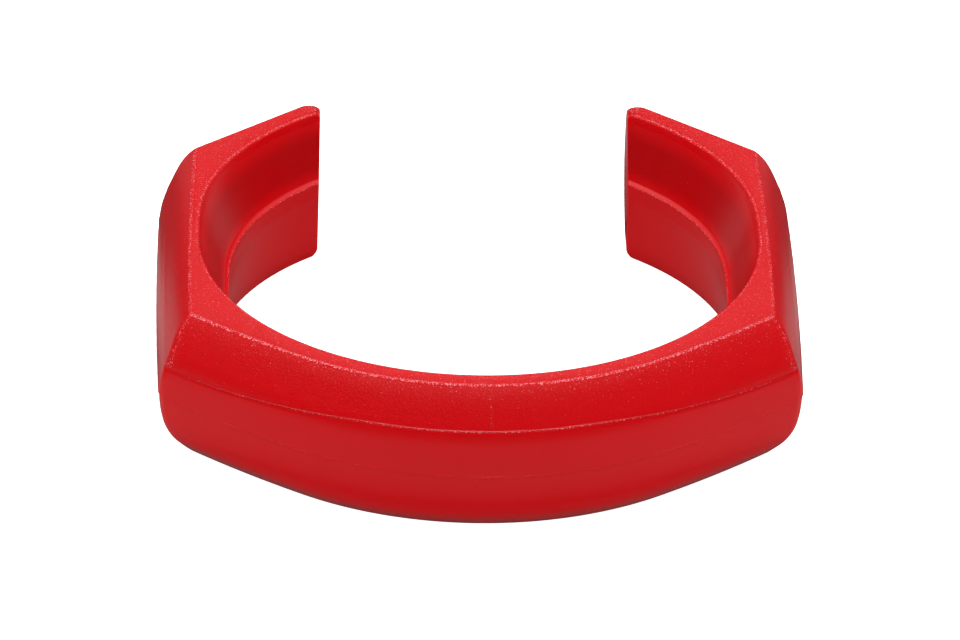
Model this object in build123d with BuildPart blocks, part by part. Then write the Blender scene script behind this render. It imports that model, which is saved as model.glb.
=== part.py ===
from build123d import *
import os
from math import cos, radians, sin, sqrt, tan

# Push-on clip for a size 29 ground glass joint, moulded in one piece.
# It is a C seen from above, with its mouth at +Y. The origin lies on the
# underside, at the centre of the bore's round front half, and +Z is up.
# Lengths are in millimetres and angles in degrees.

# heights above the underside
HEIGHT = 10.1
BELT_HEIGHT = 7.5
BELT_CORNER_HEIGHT = 6.6
LEDGE_HEIGHT = 6.0
PARTING_HEIGHT = 4.5

# bore, from the underside up: flared neck wall, straight land, ledge, cone for the flange, rim
FOOT_RADIUS = 17.0
LEDGE_RADIUS = 16.1
CONE_RADIUS = 16.4
LAND_RADIUS = 17.85
RIM_RADIUS = 18.0
NECK_LAND = 1.0
LEDGE_RISE = 0.2
RIM_LAND = 0.55
BORE_STRETCH = 2.05

# mouth between the two arm tips
MOUTH_HALF_BOTTOM = 10.35
MOUTH_HALF_TOP = 10.2
TIP_OUTER_ROUND = 0.65
TIP_INNER_ROUND = 0.28

# outline of the flat top face: a round front, and straight-edged corners
FRONT_RADIUS = 20.3
FRONT_CENTRE_Y = 0.92
FRONT_HALF_ANGLE = 34.0
CORNER_X = 18.46
FRONT_CORNER_Y = -10.45
REAR_CORNER_Y = 11.75
REAR_EDGE_ANGLE = 40.6
SIDE_BOW = 0.16
TOP_CORNER_ROUND = 0.45
TOP_EDGE_ROUND = 0.15
BOTTOM_EDGE_ROUND = 0.2

# the outside bulges past the top face, most of all at the parting line
FULL_BULGE_FRONT = 1.78
FULL_BULGE = 2.0
FULL_CORNER_ROUND = 1.25
FRONT_CORNER_ANGLE = 39.5
REAR_CORNER_SLIDE = 0.46
REAR_BULGE_SHARE = 1.2
PARTING_STEP = 0.05

# section of the outside: height, bulge of the front, bulge of the sides and rear.
# The textured shoulder sits a little back from the smooth band at the belt line.
SHOULDER = [
    (PARTING_HEIGHT, 1.56, 1.58),
    (HEIGHT - 3.4, 1.5, 1.49),
    (HEIGHT - 2.6, 1.33, 1.27),
    (HEIGHT - 1.8, 1.05, 1.01),
    (HEIGHT - 1.1, 0.74, 0.72),
    (HEIGHT - 0.5, 0.39, 0.39),
    (HEIGHT, 0.0, 0.0),
]
BAND = [
    (PARTING_HEIGHT, FULL_BULGE_FRONT, FULL_BULGE),
    (5.6, 1.76, 1.84),
    (6.3, 1.67, 1.66),
    (6.9, 1.54, 1.47),
    (7.5, 1.38, 1.28),
]
FOOT = [
    (0.0, 0.0, 0.0),
    (0.6, 0.5, 0.5),
    (1.2, 0.98, 1.03),
    (2.05, 1.4, 1.5),
    (2.9, 1.61, 1.76),
    (3.7, 1.7, 1.89),
    (PARTING_HEIGHT, FULL_BULGE_FRONT - PARTING_STEP, FULL_BULGE - PARTING_STEP),
]
BELT_LEVEL_X = 6.0
BELT_CORNER_X = 19.0

# the mouth's outline starts inside the bore and ends past the arm tips
THROAT_Y = 8.0
PAST_TIPS_Y = 25.0
MOUTH_LEAN = 0.02


def mouth_half(height):
    """Half the width of the mouth at a height."""
    return MOUTH_HALF_BOTTOM + height / HEIGHT * (MOUTH_HALF_TOP - MOUTH_HALF_BOTTOM)


def other_arm(point):
    """The same plan point on the left arm."""
    return (-point[0], point[1])


def outer_plan(height, front_bulge, side_bulge):
    """Outline of the C at one height, with its inside still filled up to the throat."""
    radius = FRONT_RADIUS + front_bulge
    rise = sin(radians(FRONT_HALF_ANGLE))
    run = cos(radians(FRONT_HALF_ANGLE))
    front = (0, FRONT_CENTRE_Y - radius)
    round_end = (radius * rise, FRONT_CENTRE_Y - radius * run)
    corner_rise = sin(radians(FRONT_CORNER_ANGLE))
    corner_run = cos(radians(FRONT_CORNER_ANGLE))
    corner_slide = (front_bulge - corner_rise * side_bulge) / corner_run
    front_corner = (CORNER_X + side_bulge, FRONT_CORNER_Y - corner_slide)
    rear_bulge = REAR_BULGE_SHARE * side_bulge
    rear_corner = (CORNER_X + rear_bulge, REAR_CORNER_Y + REAR_CORNER_SLIDE * rear_bulge)
    side_middle = (
        (front_corner[0] + rear_corner[0]) / 2 + SIDE_BOW,
        (front_corner[1] + rear_corner[1]) / 2,
    )
    half = mouth_half(height)
    tip_y = rear_corner[1] + (rear_corner[0] - half) * tan(radians(REAR_EDGE_ANGLE))
    tip = (half, tip_y)
    throat = (half, THROAT_Y)
    corner_round = TOP_CORNER_ROUND + side_bulge / FULL_BULGE * (FULL_CORNER_ROUND - TOP_CORNER_ROUND)
    with BuildSketch(Plane.XY, mode=Mode.PRIVATE) as plan:
        with BuildLine():
            ThreePointArc(other_arm(round_end), front, round_end)
            TangentArc(round_end, front_corner, tangent=(run, rise))
            ThreePointArc(front_corner, side_middle, rear_corner)
            Polyline(rear_corner, tip, throat)
            Polyline(throat, other_arm(throat), other_arm(tip), other_arm(rear_corner))
            ThreePointArc(other_arm(rear_corner), other_arm(side_middle), other_arm(front_corner))
            TangentArc(other_arm(round_end), other_arm(front_corner), tangent=(-run, rise))
        make_face()
        fillet(plan.vertices().filter_by(lambda v: abs(v.X) >= CORNER_X), radius=corner_round)
        fillet(plan.vertices().sort_by(Axis.Y)[-2:], radius=TIP_OUTER_ROUND)
    return plan.sketch


def bore_plan(height, radius):
    """Outline of the hollow at one height: the stretched bore and the mouth, rounded together."""
    half = mouth_half(height)
    meeting_y = BORE_STRETCH + sqrt(radius**2 - half**2)
    throat_half = half + MOUTH_LEAN * (meeting_y - THROAT_Y)
    past_half = half - MOUTH_LEAN * (PAST_TIPS_Y - meeting_y)
    with BuildSketch(Plane.XY, mode=Mode.PRIVATE) as plan:
        with Locations((0, BORE_STRETCH / 2)):
            SlotCenterToCenter(BORE_STRETCH, 2 * radius, rotation=90)
        with BuildLine():
            Polyline(
                (throat_half, THROAT_Y),
                (past_half, PAST_TIPS_Y),
                (-past_half, PAST_TIPS_Y),
                (-throat_half, THROAT_Y),
                close=True,
            )
        make_face()
        fillet(plan.vertices().group_by(Axis.Y)[-2], radius=TIP_INNER_ROUND)
    return plan.sketch


def clear_of_bore(edge):
    """Whether an edge of the top face or the underside belongs to the outside of the C."""
    middle = edge @ 0.5
    centre = Vector(0, min(max(middle.Y, 0), BORE_STRETCH), middle.Z)
    return (middle - centre).length > RIM_RADIUS + TIP_INNER_ROUND


def outer_body(section):
    """Solid whose outside follows the rows of a section."""
    with BuildPart(mode=Mode.PRIVATE) as body:
        for height, front_bulge, side_bulge in section:
            with BuildSketch(Plane.XY.offset(height)):
                add(outer_plan(height, front_bulge, side_bulge))
        loft()
    return body.part


with BuildPart() as clip_body:
    # smooth band, whose upper edge is level across the middle of the front and dips to its corners
    add(outer_body(BAND))
    with BuildSketch(Plane.XZ):
        with BuildLine():
            belt = Spline(
                (-BELT_CORNER_X, BELT_CORNER_HEIGHT),
                (-BELT_LEVEL_X, BELT_HEIGHT),
                (BELT_LEVEL_X, BELT_HEIGHT),
                (BELT_CORNER_X, BELT_CORNER_HEIGHT),
                tangents=[(1, 0), (1, 0), (1, 0), (1, 0)],
            )
            Polyline(
                belt @ 1,
                (PAST_TIPS_Y, BELT_CORNER_HEIGHT),
                (PAST_TIPS_Y, 0),
                (-PAST_TIPS_Y, 0),
                (-PAST_TIPS_Y, BELT_CORNER_HEIGHT),
                belt @ 0,
            )
        make_face()
    extrude(amount=PAST_TIPS_Y, both=True, mode=Mode.INTERSECT)

    # textured shoulder above it and rounded half below it
    add(outer_body(SHOULDER))
    add(outer_body(FOOT))

    # bore, cut in straight-sided steps from the underside up
    bore_steps = [
        (0.0, FOOT_RADIUS),
        (LEDGE_HEIGHT - NECK_LAND, LEDGE_RADIUS),
        (LEDGE_HEIGHT, LEDGE_RADIUS),
        (LEDGE_HEIGHT + LEDGE_RISE, CONE_RADIUS),
        (HEIGHT - RIM_LAND, LAND_RADIUS),
        (HEIGHT, RIM_RADIUS),
    ]
    for step in zip(bore_steps, bore_steps[1:]):
        for height, radius in step:
            with BuildSketch(Plane.XY.offset(height)):
                add(bore_plan(height, radius))
        loft(ruled=True, mode=Mode.SUBTRACT)

    # the crisp outer edges of the top face and of the underside
    top_face = clip_body.faces().sort_by(Axis.Z)[-1]
    underside = clip_body.faces().sort_by(Axis.Z)[0]
    for face, edge_round in ((top_face, TOP_EDGE_ROUND), (underside, BOTTOM_EDGE_ROUND)):
        fillet(face.edges().filter_by(clear_of_bore), radius=edge_round)

clip_body.part.label = "clip_body"
os.makedirs("parts", exist_ok=True)
export_step(clip_body.part, "parts/clip_body.step")
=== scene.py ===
from math import acos, atan2, cos, pi, radians, sin, sqrt, tan

import bpy
from mathutils import Matrix, Vector, noise


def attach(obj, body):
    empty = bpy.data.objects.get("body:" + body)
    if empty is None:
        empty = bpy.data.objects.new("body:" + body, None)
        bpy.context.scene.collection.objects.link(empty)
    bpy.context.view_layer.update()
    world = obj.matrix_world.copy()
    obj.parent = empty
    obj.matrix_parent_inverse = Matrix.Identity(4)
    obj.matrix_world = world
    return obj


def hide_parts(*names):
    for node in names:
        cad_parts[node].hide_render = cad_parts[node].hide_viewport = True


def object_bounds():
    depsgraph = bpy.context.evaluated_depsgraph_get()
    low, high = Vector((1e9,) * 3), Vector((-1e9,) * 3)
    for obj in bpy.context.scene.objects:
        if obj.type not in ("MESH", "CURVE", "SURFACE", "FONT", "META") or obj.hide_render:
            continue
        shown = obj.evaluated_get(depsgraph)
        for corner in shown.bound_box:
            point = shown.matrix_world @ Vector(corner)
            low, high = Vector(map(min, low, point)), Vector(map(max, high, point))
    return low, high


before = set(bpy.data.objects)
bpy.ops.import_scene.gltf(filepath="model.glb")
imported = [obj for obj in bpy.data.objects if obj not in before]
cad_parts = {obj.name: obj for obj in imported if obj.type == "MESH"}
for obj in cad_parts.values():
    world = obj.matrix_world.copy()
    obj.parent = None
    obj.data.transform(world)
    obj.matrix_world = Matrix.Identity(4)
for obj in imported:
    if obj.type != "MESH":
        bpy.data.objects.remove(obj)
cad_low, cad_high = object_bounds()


# The clip itself: one C-shaped piece of red acetal, injection moulded in one shot.
# The mould leaves a spark-eroded grain on the top face and shoulder, a polished band
# below the belt line and a hair of flash along the parting line. Sizes are in millimetres.
MM = 0.001
height = cad_high.z / MM
belt_middle = 7.55
belt_corner = 6.62
belt_level_x = 6.0
belt_corner_x = 19.0
parting = 4.5

foot_radius = 17.0
neck_radius = 16.1
neck_top = 6.0
neck_straight = 1.0
cone_radius = 16.4
cone_foot = 6.2
land_radius = 17.85
land_foot = height - 0.55
rim_radius = 18.0
bore_stretch = 2.05

mouth_half_bottom = 10.35
mouth_half_top = 10.2
tip_round = 0.65
tip_inner_round = 0.28

front_radius = 20.3
front_centre = 0.92
front_half_angle = radians(34.0)
corner_x = 18.46
front_corner_y = -10.45
rear_corner_y = 11.75
rear_edge_angle = radians(40.6)
side_bow = 0.16
top_corner_round = 0.6
full_corner_round = 1.25
full_bulge = 2.0
front_corner_angle = radians(39.5)
rear_corner_slide = 0.46
rear_bulge_share = 1.2

# height, bulge of the front, bulge of the sides and rear
foot_rows = [
    (0.0, -0.15, 0.05),
    (0.6, 0.45, 0.62),
    (1.2, 0.96, 1.14),
    (2.05, 1.4, 1.58),
    (2.9, 1.61, 1.8),
    (3.7, 1.7, 1.91),
    (parting, 1.73, 1.95),
]
band_rows = [
    (parting, 1.78, 2.0),
    (5.6, 1.77, 1.84),
    (6.3, 1.71, 1.67),
    (6.9, 1.62, 1.49),
    (7.5, 1.5, 1.31),
]
shoulder_rows = [
    (parting, 1.68, 1.58),
    (height - 3.4, 1.62, 1.49),
    (height - 2.6, 1.45, 1.29),
    (height - 1.8, 1.07, 1.02),
    (height - 1.1, 0.7, 0.73),
    (height - 0.5, 0.35, 0.39),
    (height, 0.0, 0.0),
]


def read_off(rows, z, column):
    """A bulge read off the rows of a section, smooth from row to row."""
    last = len(rows) - 2
    i = 0
    while i < last and z > rows[i + 1][0]:
        i += 1

    def slope(k):
        a, b = max(k - 1, 0), min(k + 1, len(rows) - 1)
        return (rows[b][column] - rows[a][column]) / (rows[b][0] - rows[a][0])

    z0, z1 = rows[i][0], rows[i + 1][0]
    v0, v1 = rows[i][column], rows[i + 1][column]
    span = z1 - z0
    t = (z - z0) / span
    return (
        v0 * (2 * t**3 - 3 * t**2 + 1)
        + slope(i) * span * (t**3 - 2 * t**2 + t)
        + v1 * (3 * t**2 - 2 * t**3)
        + slope(i + 1) * span * (t**3 - t**2)
    )


def between(low, high, count, first=True, last=True):
    """Evenly spaced values from low to high."""
    values = [low + (high - low) * k / count for k in range(count + 1)]
    return values[0 if first else 1 : None if last else -1]


def rounded(start, way_in, end, way_out, count):
    """Points round a corner, from one tangent point to the other."""
    turn = acos(max(-1.0, min(1.0, way_in.dot(way_out))))
    reach = (end - start).length / (2 * sin(turn / 2)) if turn > 1e-6 else 0.0
    handle = 4 / 3 * tan(turn / 4) * reach
    a, b = start + way_in * handle, end - way_out * handle
    points = []
    for k in range(count + 1):
        t = k / count
        u = 1 - t
        points.append(start * u**3 + a * 3 * u * u * t + b * 3 * u * t * t + end * t**3)
    return points


def mouth_half(z):
    """Half the width of the mouth at a height."""
    return mouth_half_bottom + z / height * (mouth_half_top - mouth_half_bottom)


# stations along one half of the outside, from the middle of the front to the arm tip
front_steps = 70
flank_steps = 45
corner_steps = 10
side_steps = 50
rear_corner_steps = 8
rear_edge_steps = 28
tip_steps = 12


def outside_half(front_bulge, side_bulge, half):
    """Half of the outline at one bulge, as a list of stations."""
    radius = front_radius + front_bulge
    rise, run = sin(front_half_angle), cos(front_half_angle)
    round_end = Vector((radius * rise, front_centre - radius * run))
    corner_slide = (front_bulge - sin(front_corner_angle) * side_bulge) / cos(front_corner_angle)
    corner = Vector((corner_x + side_bulge, front_corner_y - corner_slide))
    rear_bulge = rear_bulge_share * side_bulge
    rear = Vector((corner_x + rear_bulge, rear_corner_y + rear_corner_slide * rear_bulge))
    tip = Vector((half, rear.y + (rear.x - half) * tan(rear_edge_angle)))
    corner_round = top_corner_round + side_bulge / full_bulge * (full_corner_round - top_corner_round)

    points = []
    for k in range(front_steps):
        angle = front_half_angle * k / front_steps
        points.append(Vector((radius * sin(angle), front_centre - radius * cos(angle))))

    # flank: an arc that leaves the round front along its tangent and ends at the corner
    chord = corner - round_end
    chord_angle = atan2(chord.y, chord.x)
    half_turn = chord_angle - front_half_angle
    flank_radius = chord.length / (2 * sin(half_turn))

    def on_flank(share):
        turn = 2 * half_turn * share
        length = 2 * flank_radius * sin(turn / 2)
        way = front_half_angle + turn / 2
        return round_end + Vector((cos(way), sin(way))) * length

    def flank_way(share):
        way = front_half_angle + 2 * half_turn * share
        return Vector((cos(way), sin(way)))

    def on_side(share):
        point = corner.lerp(rear, share)
        point.x += side_bow * 4 * share * (1 - share)
        return point

    def side_way(share):
        way = rear - corner
        way.x += side_bow * 4 * (1 - 2 * share)
        return way.normalized()

    turn = acos(flank_way(1).dot(side_way(0)))
    trim = corner_round * tan(turn / 2)
    flank_end = 1 - trim / (2 * half_turn * flank_radius)
    side_start = trim / (rear - corner).length
    rear_way = Vector((-cos(rear_edge_angle), sin(rear_edge_angle)))
    turn = acos(side_way(1).dot(rear_way))
    trim = corner_round * tan(turn / 2)
    side_end = 1 - trim / (rear - corner).length
    rear_start = rear + rear_way * trim

    points += [on_flank(s) for s in between(0, flank_end, flank_steps, last=False)]
    points += rounded(
        on_flank(flank_end), flank_way(flank_end), on_side(side_start), side_way(side_start), corner_steps
    )[:-1]
    points += [on_side(s) for s in between(side_start, side_end, side_steps, last=False)]
    points += rounded(on_side(side_end), side_way(side_end), rear_start, rear_way, rear_corner_steps)[:-1]

    down = Vector((0, -1))
    turn = acos(rear_way.dot(down))
    trim = tip_round * tan(turn / 2)
    rear_end = tip - rear_way * trim
    points += [rear_start.lerp(rear_end, s) for s in between(0, 1, rear_edge_steps, last=False)]
    points += rounded(rear_end, rear_way, tip + down * trim, down, tip_steps)
    return points


def inside_half(radius, half, shares):
    """Half of the bore's outline, at the stations' shares of its length, then its rounded end."""
    meeting = acos(half / radius)
    down = Vector((0, -1))
    way_at_meeting = Vector((sin(meeting), -cos(meeting)))
    trim = tip_inner_round * tan(acos(way_at_meeting.dot(down)) / 2)
    last_angle = meeting - trim / radius
    quarter = radius * pi / 2
    whole = quarter + bore_stretch + radius * last_angle
    points = []
    for share in shares:
        along = share * whole
        if along < quarter:
            angle = along / radius
            points.append(Vector((radius * sin(angle), -radius * cos(angle))))
        elif along < quarter + bore_stretch:
            points.append(Vector((radius, along - quarter)))
        else:
            angle = (along - quarter - bore_stretch) / radius
            points.append(Vector((radius * cos(angle), bore_stretch + radius * sin(angle))))
    start = Vector((radius * cos(last_angle), bore_stretch + radius * sin(last_angle)))
    way = Vector((-sin(last_angle), cos(last_angle)))
    end = Vector((half, bore_stretch + sqrt(radius**2 - half**2) + trim))
    points += rounded(start, way, end, Vector((0, 1)), tip_steps)
    return points


# rows up the outside: the same number at every station, closest at the edges and lines
edge_round = 0.28
foot_edge_round = 0.14
edge_trim_share = 0.5
edge_steps = 4
foot_slope_height = 0.2
foot_steps = 22
band_steps = 12
crest_slope_height = 0.15
shoulder_foot = 0.06
shoulder_steps = 24
flash = 0.012
flash_half = 0.03
flash_crest_half = flash_half * 0.4
lip_round = 0.05
lip_turns = (30, 60, 90)
side_blend = 1.2

# how grained the moulded surface is, which also sets its painted glints: 0 is polished, 1 is the open top
# face, 2 an edge thick with painted highlight dots
# the belt lip and the crest get grain above 1, which paints highlight dots along them
band_lip_grain_and_glints = 1.9
shoulder_grain = 0.5
shoulder_grain_rise = 0.7
crest_grain_and_glints = 2.1
# height above the belt, stand-out from the shoulder, grain and painted glints
lip_tops = [(0.008, 0.03, 1.5), (0.03, 0.008, 1.0)]


def belt_height(x):
    """Height of the belt line, level across the middle of the front and lower at its corners."""
    share = min(max(abs(x) - belt_level_x, 0.0) / (belt_corner_x - belt_level_x), 1.0)
    return belt_middle + (belt_corner - belt_middle) * (3 * share**2 - 2 * share**3)


def outside_rows(belt):
    """Rows of (height, front bulge, side bulge, grain and painted glints, on the flash or not) up the
    outside.
    """
    trim = foot_edge_round * edge_trim_share
    foot_out = read_off(foot_rows, foot_slope_height, 1) - read_off(foot_rows, 0.0, 1)
    foot_way = Vector((foot_out, foot_slope_height)).normalized()
    foot_start = foot_way * trim
    rows = []
    for p in rounded(Vector((-trim, 0)), Vector((1, 0)), foot_start, foot_way, edge_steps)[:-1]:
        rows.append((p.y, foot_rows[0][1] + p.x, foot_rows[0][2] + p.x, 0.0, False))
    for z in between(foot_start.y, parting - flash_half, foot_steps):
        rows.append((z, read_off(foot_rows, z, 1), read_off(foot_rows, z, 2), 0.0, False))
    for z, side in ((parting - flash_crest_half, foot_rows), (parting + flash_crest_half, band_rows)):
        rows.append((z, read_off(side, parting, 1), read_off(side, parting, 2), 0.0, True))
    lip_foot = belt - lip_round
    for z in between(parting + flash_half, lip_foot, band_steps):
        rows.append((z, read_off(band_rows, z, 1), read_off(band_rows, z, 2), 0.0, False))
    band_front = read_off(band_rows, belt, 1)
    shoulder_front = read_off(shoulder_rows, belt, 1)
    side_gap = read_off(band_rows, belt, 2) - read_off(shoulder_rows, belt, 2)

    def side_above_belt(z):
        """Side bulge above the belt, where the band runs into the shoulder with no lip."""
        ease = max(0.0, 1 - (z - belt) / side_blend) ** 2
        return read_off(shoulder_rows, z, 2) + side_gap * ease

    for turn in lip_turns:
        z = belt - lip_round * (1 - sin(radians(turn)))
        front = band_front - lip_round * (1 - cos(radians(turn)))
        rows.append((z, front, read_off(band_rows, z, 2), band_lip_grain_and_glints, False))
    for rise, stand_out, grain_and_glints in lip_tops:
        rows.append((belt + rise, shoulder_front + stand_out, side_above_belt(belt + rise), grain_and_glints, False))
    trim = edge_round * edge_trim_share
    crest_out = read_off(shoulder_rows, height - crest_slope_height, 1)
    crest_way = Vector((-crest_out, crest_slope_height)).normalized()
    crest_start = Vector((0, height)) - crest_way * trim
    for z in between(belt + shoulder_foot, crest_start.y, shoulder_steps):
        near_crest = (z - belt) / (height - belt)
        grain_and_glints = shoulder_grain + shoulder_grain_rise * near_crest**2
        rows.append((z, read_off(shoulder_rows, z, 1), side_above_belt(z), grain_and_glints, False))
    for p in rounded(crest_start, crest_way, Vector((-trim, height)), Vector((-1, 0)), edge_steps)[1:]:
        rows.append((p.y, p.x, p.x, crest_grain_and_glints, False))
    return rows


row_count = len(outside_rows(belt_middle))
least_trim = 0.02


def inside_rows():
    """Points (bore radius, height) up the bore, with a small round at each of its corners."""
    # the corner, how far it is rounded
    corners = [
        (Vector((foot_radius + 1, 0)), 0.0),
        (Vector((foot_radius, 0)), 0.1),
        (Vector((neck_radius, neck_top - neck_straight)), 0.5),
        (Vector((neck_radius, neck_top)), 0.2),
        (Vector((cone_radius, cone_foot)), 0.12),
        (Vector((land_radius, land_foot)), 0.1),
        (Vector((rim_radius, height)), 0.28),
        (Vector((rim_radius + 1, height)), 0.0),
    ]
    points = []
    steps = (3, 2, 6, 4, 3, 5)
    for k in range(1, len(corners) - 1):
        here, size = corners[k]
        way_in = (here - corners[k - 1][0]).normalized()
        way_out = (corners[k + 1][0] - here).normalized()
        turn = acos(max(-1.0, min(1.0, way_in.dot(way_out))))
        trim = max(size * tan(turn / 2), least_trim)
        points.append(rounded(here - way_in * trim, way_in, here + way_out * trim, way_out, steps[k - 1]))
    spare = row_count - sum(len(p) for p in points)
    runs = [(points[k + 1][0] - points[k][-1]).length for k in range(len(points) - 1)]
    counts = [int(spare * run / sum(runs)) for run in runs]
    counts[0] += spare - sum(counts)
    rows = []
    for k, corner in enumerate(points):
        rows += corner
        if k < len(runs):
            rows += [corner[-1].lerp(points[k + 1][0], s) for s in between(0, 1, counts[k] + 1, False, False)]
    return rows


inner_profile = inside_rows()

# each station of the outside is paired with one of the bore at a like angle,
# and columns of points run between them across the top face, the underside and the tips
nominal = outside_half(1.0, 1.0, mouth_half(height / 2))
pair_centre = Vector((0, bore_stretch / 2))
paired = len(nominal) - tip_steps - 1
bearings = [atan2(p.y - pair_centre.y, p.x) for p in nominal]
shares = [(b - bearings[0]) / (bearings[paired] - bearings[0]) for b in bearings[:paired]]
across_steps = [0, 0.02, 0.06, 0.14, 0.26, 0.4, 0.55, 0.7, 0.83, 0.92, 0.97, 1]

station_rows = [outside_rows(belt_height(p.x)) for p in nominal]


tip_edge_round = 0.5


def tip_ease(z):
    """How far the tip faces draw back near the top face and the underside."""
    up = tip_edge_round - min(z, height - z)
    return tip_edge_round - sqrt(tip_edge_round**2 - up**2) if up > 0 else 0.0


# where the front corner stands, and how the grain and its painted glints thicken and thin along the outside;
# a line of painted highlight dots runs down the front corner
grain_and_glint_corner = Vector((19.3, -11.1))
corner_reach = 0.8
corner_grain_and_glints = 1.7
side_share = 0.8
lip_fade_end = grain_and_glint_corner.x - 0.3
lip_fade = 1.5
lip_half = 0.06
grain_foot = 0.1

# the flash comes and goes along the parting line, with painted highlight dashes where it stands out
flash_grain_and_glints = 2.2
flash_grain_and_glint_level = 0.5
flash_grain_and_glint_swing = 2
flash_wave = 1.3
flash_wave_seed = 5.0
flash_cover = 0.25

outer_grid, inner_grid, outer_grain_and_glints = [], [], []
for m in range(row_count):
    outer_row, inner_row, grain_and_glint_row = [], [], []
    inner = inner_profile[m]
    half_in = mouth_half(inner.y) + tip_ease(inner.y)
    inner_points = inside_half(inner.x, half_in, shares)
    made = {}
    for i, rows in enumerate(station_rows):
        z, front, side, grain_and_glints, on_flash = rows[m]
        if on_flash:
            place = Vector((nominal[i].x * flash_wave, nominal[i].y * flash_wave, flash_wave_seed))
            ragged = noise.noise(place)
            front += flash * max(0.0, flash_cover + ragged)
            side += flash * max(0.0, flash_cover + ragged)
            grain_and_glints = flash_grain_and_glints * max(0.0, min(1.0, flash_grain_and_glint_level + flash_grain_and_glint_swing * ragged))
        key = (round(z, 7), round(front, 7), round(side, 7))
        if key not in made:
            made[key] = outside_half(front, side, mouth_half(z) + tip_ease(z))
        p = made[key][i]
        outer_row.append(Vector((p.x, p.y, z)))
        above_belt = z - belt_height(nominal[i].x)
        # near the belt, the lip's painted highlight dots fade out towards the sides and stop on the rear
        if abs(above_belt) < lip_half:
            in_front = min(max((lip_fade_end - nominal[i].x) / lip_fade, 0.0), 1.0)
            grain_and_glints *= in_front if nominal[i].y < 0 else 0.0
        elif above_belt > grain_foot:
            near_corner = 1 - (nominal[i] - grain_and_glint_corner).length / corner_reach
            grain_and_glints *= side_share if nominal[i].y > grain_and_glint_corner.y else 1.0
            grain_and_glints = max(grain_and_glints, corner_grain_and_glints * near_corner)
        q = inner_points[i]
        inner_row.append(Vector((q.x, q.y, inner.y)))
        grain_and_glint_row.append(grain_and_glints)
    outer_grid.append(outer_row)
    inner_grid.append(inner_row)
    outer_grain_and_glints.append(grain_and_glint_row)


def other_arm(point):
    """The same point on the left arm."""
    return Vector((-point.x, point.y, point.z))


def both_arms(row):
    """A row of stations from the left tip round the front to the right tip."""
    return [other_arm(p) for p in reversed(row[1:])] + row


def loop(m):
    """One closed row round the piece: outside, right tip, bore, left tip."""
    outside = both_arms(outer_grid[m])
    inside = both_arms(inner_grid[m])
    right = [outside[-1].lerp(inside[-1], s) for s in across_steps[1:-1]]
    left = [inside[0].lerp(outside[0], 1 - s) for s in reversed(across_steps[1:-1])]
    return outside + right + inside[::-1] + left


neck_grain = 0.08
cone_grain = 0.25
edge_grain_and_glints = 1.85
ledge_edge_reach = 0.13
rim_reach = 0.22


def bore_grain_and_glints(z):
    """Grain and painted glints up the bore: faint on the neck, stronger at the ledge's edge and the rim,
    where painted highlight dots line the edges.
    """
    near_ledge = 1 - abs(z - neck_top) / ledge_edge_reach
    near_rim = 1 - abs(z - height) / rim_reach
    near_edge = max(near_ledge, near_rim, 0.0)
    return max(neck_grain if z < neck_top else cone_grain, edge_grain_and_glints * near_edge)


# painted shade: the bore's colour is darkened where little light reaches, faintly on the neck
neck_painted_shade = 0.1
shade_rise = 0.7
shade_fall = 1.0


def bore_painted_shade(z):
    """Painted shade up the bore: darkest half way up the cone, where least light gets in."""
    if z < neck_top:
        return neck_painted_shade
    rise = min(max((z - cone_foot) / shade_rise, 0.0), 1.0)
    fall = min(max((land_foot - z) / shade_fall, 0.0), 1.0)
    return rise * fall


tip_grain = 0.2

# the weld line, where the two flows of plastic met: one column of points on the front shoulder
weld_column = 2
weld_grain = 0.6
weld_foot = belt_middle + 0.1
weld_top = height - 0.3


def loop_grain_and_glints(m):
    """How grained the surface is at each point of a row, which also sets its painted glints."""
    outside = outer_grain_and_glints[m][:0:-1] + outer_grain_and_glints[m]
    if weld_foot < outer_grid[m][0].z < weld_top:
        outside[len(nominal) - 1 + weld_column] += weld_grain
    bore = bore_grain_and_glints(inner_profile[m].y)
    tips = [tip_grain] * (len(across_steps) - 2)
    return outside + tips + [bore] * len(outside) + tips


def loop_painted_shade(m):
    """How much painted shade darkens the colour at each point of a row."""
    span = 2 * len(nominal) - 1
    tips = [0.0] * (len(across_steps) - 2)
    return [0.0] * span + tips + [bore_painted_shade(inner_profile[m].y)] * span + tips


points, grains_and_glints, painted_shades = [], [], []
for m in range(row_count):
    points += loop(m)
    grains_and_glints += loop_grain_and_glints(m)
    painted_shades += loop_painted_shade(m)
ring = len(points) // row_count
along_count = 2 * len(nominal) - 1
faces = []
for m in range(row_count - 1):
    for i in range(ring):
        j = (i + 1) % ring
        faces.append((m * ring + i, m * ring + j, (m + 1) * ring + j, (m + 1) * ring + i))


# the top face sinks a little as the plastic cools, unevenly and not at the arm tips
sink = 0.05
sink_wave = 0.16
sink_wave_across = 2.5
level_columns = 40
top_grain = 1.05
underside_grain = 0.2


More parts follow.
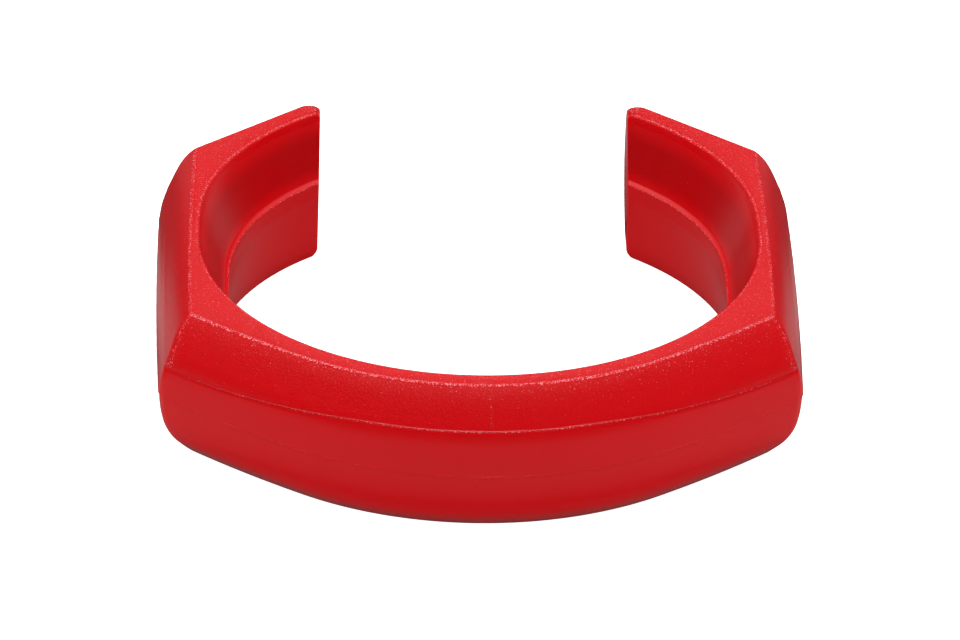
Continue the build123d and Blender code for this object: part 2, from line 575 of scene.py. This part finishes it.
def cap(m, grain_and_glints, upward):
    """Closes the piece over one row, from the outside across to the bore."""
    base = m * ring
    tip = len(across_steps) - 2
    columns = [[base + i for i in range(along_count)]]
    for k, share in enumerate(across_steps[1:-1]):
        column = [base + 2 * along_count + tip + (tip - 1 - k)]
        for i in range(1, along_count - 1):
            a = points[base + i]
            b = points[base + along_count + tip + along_count - 1 - i]
            column.append(len(points))
            p = a.lerp(b, share)
            if upward:
                place = Vector((p.x * sink_wave, p.y * sink_wave, share * sink_wave_across))
                waves = noise.noise(place)
                from_tip = min(1.0, min(i, along_count - 1 - i) / level_columns)
                p.z -= sink * from_tip * sin(pi * share) * (0.5 + 0.5 * waves)
            points.append(p)
            grains_and_glints.append(grain_and_glints)
            painted_shades.append(0.0)
        column.append(base + along_count + k)
        columns.append(column)
    columns.append([base + along_count + tip + along_count - 1 - i for i in range(along_count)])
    for a, b in zip(columns, columns[1:]):
        for i in range(along_count - 1):
            face = (a[i], a[i + 1], b[i + 1], b[i])
            faces.append(face if upward else face[::-1])


cap(row_count - 1, top_grain, True)
cap(0, underside_grain, False)

clip_mesh = bpy.data.meshes.new("joint_clip")
clip_mesh.from_pydata([p * MM for p in points], [], faces)
clip_mesh.validate()
clip_mesh.polygons.foreach_set("use_smooth", [True] * len(clip_mesh.polygons))
grain_and_glint_layer = clip_mesh.attributes.new("grain_and_glints", "FLOAT", "POINT")
grain_and_glint_layer.data.foreach_set("value", grains_and_glints)
painted_shade_layer = clip_mesh.attributes.new("painted_shade", "FLOAT", "POINT")
painted_shade_layer.data.foreach_set("value", painted_shades)
clip_mesh.update()
clip = bpy.data.objects.new("joint_clip", clip_mesh)
bpy.context.scene.collection.objects.link(clip)


def red_acetal():
    """Red moulded acetal: satin, slightly waxy, grained where the mould was spark eroded."""
    material = bpy.data.materials.new("red_acetal")
    material.use_nodes = True
    nodes, links = material.node_tree.nodes, material.node_tree.links
    shader = nodes["Principled BSDF"]
    shader.inputs["Subsurface Weight"].default_value = 1.0
    shader.inputs["Subsurface Radius"].default_value = (1.0, 0.06, 0.08)
    shader.inputs["Subsurface Scale"].default_value = 0.35 * MM
    place = nodes.new("ShaderNodeTexCoord")
    in_mm = nodes.new("ShaderNodeVectorMath")
    in_mm.operation = "SCALE"
    in_mm.inputs["Scale"].default_value = 1 / MM
    links.new(place.outputs["Object"], in_mm.inputs[0])
    grain_and_glints = nodes.new("ShaderNodeAttribute")
    grain_and_glints.attribute_name = "grain_and_glints"
    painted_shade = nodes.new("ShaderNodeAttribute")
    painted_shade.attribute_name = "painted_shade"

    fine = nodes.new("ShaderNodeTexNoise")
    fine.inputs["Scale"].default_value = 9.0
    fine.inputs["Detail"].default_value = 3.0
    fine.inputs["Roughness"].default_value = 0.6
    links.new(in_mm.outputs[0], fine.inputs["Vector"])
    colour = nodes.new("ShaderNodeMix")
    colour.data_type = "RGBA"
    colour.inputs["A"].default_value = (0.59, 0.0024, 0.005, 1)
    colour.inputs["B"].default_value = (0.65, 0.0028, 0.006, 1)
    links.new(fine.outputs["Fac"], colour.inputs["Factor"])
    # painted shade: the base colour is darkened inside the bore, where little light reaches
    shaded_colour = nodes.new("ShaderNodeMix")
    shaded_colour.data_type = "RGBA"
    shaded_colour.inputs["B"].default_value = (0.44, 0.0015, 0.0032, 1)
    links.new(painted_shade.outputs["Fac"], shaded_colour.inputs["Factor"])
    links.new(colour.outputs["Result"], shaded_colour.inputs["A"])
    # painted glints: tiny pale specks in the base colour that stand in for light sparkling on the grain, most
    # of them along the edges
    glint_share = 0.16
    glint_noise = nodes.new("ShaderNodeTexNoise")
    glint_noise.inputs["Scale"].default_value = 10.0
    glint_noise.inputs["Detail"].default_value = 1.0
    links.new(in_mm.outputs[0], glint_noise.inputs["Vector"])
    glint_amount = nodes.new("ShaderNodeMath")
    glint_amount.operation = "MULTIPLY_ADD"
    glint_amount.inputs[1].default_value = glint_share
    links.new(grain_and_glints.outputs["Fac"], glint_amount.inputs[0])
    links.new(glint_noise.outputs["Fac"], glint_amount.inputs[2])
    glint_mask = nodes.new("ShaderNodeMapRange")
    glint_mask.inputs["From Min"].default_value = 0.82
    glint_mask.inputs["From Max"].default_value = 1.04
    glint_mask.inputs["To Max"].default_value = 1.0
    links.new(glint_amount.outputs[0], glint_mask.inputs["Value"])
    painted_glints = nodes.new("ShaderNodeMix")
    painted_glints.data_type = "RGBA"
    painted_glints.inputs["B"].default_value = (0.9, 0.3, 0.34, 1)
    links.new(glint_mask.outputs["Result"], painted_glints.inputs["Factor"])
    links.new(shaded_colour.outputs["Result"], painted_glints.inputs["A"])
    links.new(painted_glints.outputs["Result"], shader.inputs["Base Color"])
    satin = nodes.new("ShaderNodeMapRange")
    satin.inputs["To Min"].default_value = 0.16
    satin.inputs["To Max"].default_value = 0.18
    links.new(grain_and_glints.outputs["Fac"], satin.inputs["Value"])
    links.new(satin.outputs["Result"], shader.inputs["Roughness"])

    bitten = nodes.new("ShaderNodeMath")
    bitten.operation = "MULTIPLY"
    links.new(grain_and_glints.outputs["Fac"], bitten.inputs[0])
    links.new(fine.outputs["Fac"], bitten.inputs[1])
    bump = nodes.new("ShaderNodeBump")
    bump.inputs["Distance"].default_value = 0.05 * MM
    links.new(bitten.outputs[0], bump.inputs["Height"])
    links.new(bump.outputs["Normal"], shader.inputs["Normal"])
    return material


clip.data.materials.append(red_acetal())
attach(clip, "root")
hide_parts("clip_body")


# The table: a matt sheet that the clip lies on. It catches the clip's soft shadow,
# and shows as white to the camera.
floor_size = 4.0
floor_drop = 0.02 * MM
floor_mesh = bpy.data.meshes.new("floor")
reach = floor_size / 2
sheet_corners = [(-reach, -reach, 0), (reach, -reach, 0), (reach, reach, 0), (-reach, reach, 0)]
floor_mesh.from_pydata(sheet_corners, [], [(0, 1, 2, 3)])
floor = bpy.data.objects.new("floor", floor_mesh)
floor.location.z = -floor_drop
bpy.context.scene.collection.objects.link(floor)


# painted light and shade that the clip's shine shows on the sheet, pale patches for light pooling on it and
# dark ones for its shadow under and beside the clip:
# centre, radii between which the patch fades, strength inside and outside
painted_light_patches = [
    ((0, -0.018, 0), 0.035, 0.047, 0.34, 0.05),
    ((0, 0.0, 0), 0.021, 0.028, -0.19, 0.0),
    ((0, 0.0, 0), 0.0225, 0.0235, -0.06, 0.0),
    ((-0.034, 0.0, 0), 0.004, 0.012, -0.16, 0.0),
    ((0.034, 0.0, 0), 0.004, 0.012, -0.16, 0.0),
    ((0, 0.001, 0), 0.0165, 0.0180, 0.06, 0.0),
    ((0, 0.075, 0), 0.040, 0.052, 0.24, 0.0),
]


def white_sheet():
    """A matt white sheet. For the clip's shine it glows with painted light and shade, pale close by and dim
    further out.
    """
    material = bpy.data.materials.new("white_sheet")
    material.use_nodes = True
    nodes, links = material.node_tree.nodes, material.node_tree.links
    shader = nodes["Principled BSDF"]
    shader.inputs["Base Color"].default_value = (0.8, 0.8, 0.8, 1)
    shader.inputs["Roughness"].default_value = 1.0
    shader.inputs["Specular IOR Level"].default_value = 0.0
    shader.inputs["Emission Color"].default_value = (1, 1, 1, 1)
    rays = nodes.new("ShaderNodeLightPath")
    lift = nodes.new("ShaderNodeMapRange")
    lift.inputs["To Min"].default_value = 0.07
    lift.inputs["To Max"].default_value = 1.0
    links.new(rays.outputs["Is Camera Ray"], lift.inputs[0])
    links.new(lift.outputs[0], shader.inputs["Emission Strength"])
    place = nodes.new("ShaderNodeTexCoord")
    shine = nodes.new("ShaderNodeEmission")
    total = None
    for centre, inner, outer, inside, outside in painted_light_patches:
        reach = nodes.new("ShaderNodeVectorMath")
        reach.operation = "DISTANCE"
        reach.inputs[1].default_value = centre
        links.new(place.outputs["Object"], reach.inputs[0])
        fade = nodes.new("ShaderNodeMapRange")
        fade.interpolation_type = "SMOOTHSTEP"
        fade.inputs["From Min"].default_value = inner
        fade.inputs["From Max"].default_value = outer
        fade.inputs["To Min"].default_value = inside
        fade.inputs["To Max"].default_value = outside
        links.new(reach.outputs["Value"], fade.inputs["Value"])
        if total is None:
            total = fade.outputs["Result"]
        else:
            added = nodes.new("ShaderNodeMath")
            links.new(total, added.inputs[0])
            links.new(fade.outputs["Result"], added.inputs[1])
            total = added.outputs[0]
    links.new(total, shine.inputs["Strength"])
    either = nodes.new("ShaderNodeMixShader")
    links.new(rays.outputs["Is Glossy Ray"], either.inputs[0])
    links.new(shader.outputs[0], either.inputs[1])
    links.new(shine.outputs[0], either.inputs[2])
    links.new(either.outputs[0], nodes["Material Output"].inputs["Surface"])
    return material


floor_mesh.materials.append(white_sheet())


# The light: a pale room gives soft light all round, most of it from above. The clip's
# satin surface shows its walls darker low down. One soft lamp hangs straight overhead.
brightest_way = (-0.055, 0.11, 1)
# shares of the soft light from the sides, from front and rear, and from above
light_shares = (0.34, -0.2, 1)
room = bpy.data.worlds.new("room")
bpy.context.scene.world = room
room.use_nodes = True
nodes, links = room.node_tree.nodes, room.node_tree.links
sky = nodes["Background"]
sky.inputs["Color"].default_value = (1, 1, 1, 1)
facing = nodes.new("ShaderNodeTexCoord")
towards = nodes.new("ShaderNodeVectorMath")
towards.operation = "DOT_PRODUCT"
towards.inputs[1].default_value = brightest_way
links.new(facing.outputs["Generated"], towards.inputs[0])
walls = nodes.new("ShaderNodeMapRange")
walls.interpolation_type = "SMOOTHSTEP"
walls.inputs["From Min"].default_value = 0.42
walls.inputs["From Max"].default_value = 1.0
walls.inputs["To Min"].default_value = 0.045
walls.inputs["To Max"].default_value = 1.3
links.new(towards.outputs["Value"], walls.inputs["Value"])
rays = nodes.new("ShaderNodeLightPath")
seen = nodes.new("ShaderNodeMix")
squared = nodes.new("ShaderNodeVectorMath")
squared.operation = "MULTIPLY"
links.new(facing.outputs["Generated"], squared.inputs[0])
links.new(facing.outputs["Generated"], squared.inputs[1])
overhead = nodes.new("ShaderNodeVectorMath")
overhead.operation = "DOT_PRODUCT"
overhead.inputs[1].default_value = light_shares
links.new(squared.outputs[0], overhead.inputs[0])
soft = nodes.new("ShaderNodeMapRange")
soft.inputs["To Min"].default_value = 0.04
soft.inputs["To Max"].default_value = 2.17
links.new(overhead.outputs["Value"], soft.inputs["Value"])
links.new(soft.outputs["Result"], seen.inputs["A"])
links.new(rays.outputs["Is Glossy Ray"], seen.inputs["Factor"])
links.new(walls.outputs["Result"], seen.inputs["B"])
white = nodes.new("ShaderNodeMix")
white.inputs["B"].default_value = 1.0
links.new(rays.outputs["Is Camera Ray"], white.inputs["Factor"])
links.new(seen.outputs["Result"], white.inputs["A"])
links.new(white.outputs["Result"], sky.inputs["Strength"])

lamp_side = 0.15
lamp_height = 0.7
lamp_data = bpy.data.lights.new("overhead_softbox", "AREA")
lamp_data.shape = "SQUARE"
lamp_data.size = lamp_side
lamp_data.energy = 1.2
lamp = bpy.data.objects.new("overhead_softbox", lamp_data)
lamp.location = (0, 0, lamp_height)
bpy.context.scene.collection.objects.link(lamp)


# The camera: a long lens on a stand, looking down at the closed front of the clip
# from a little to one side.
camera_aim = Vector((0.1, -2.11, 5.0)) * MM
camera_distance = 451.3 * MM
camera_elevation = radians(29.379)
camera_turn = radians(-1.719)
camera_roll = radians(1.077)
camera_data = bpy.data.cameras.new("camera")
camera_data.sensor_width = 36.0
camera_data.lens = 262.5
camera_data.clip_start = 0.01
camera_data.clip_end = 20
camera = bpy.data.objects.new("camera", camera_data)
bpy.context.scene.collection.objects.link(camera)
turned = Matrix.Rotation(camera_turn, 3, "Z") @ Matrix.Rotation(pi / 2 - camera_elevation, 3, "X")
turned = turned @ Matrix.Rotation(camera_roll, 3, "Z")
camera.matrix_world = Matrix.LocRotScale(camera_aim + turned.col[2] * camera_distance, turned, None)
bpy.context.scene.camera = camera
bpy.context.scene.view_settings.view_transform = "Standard"
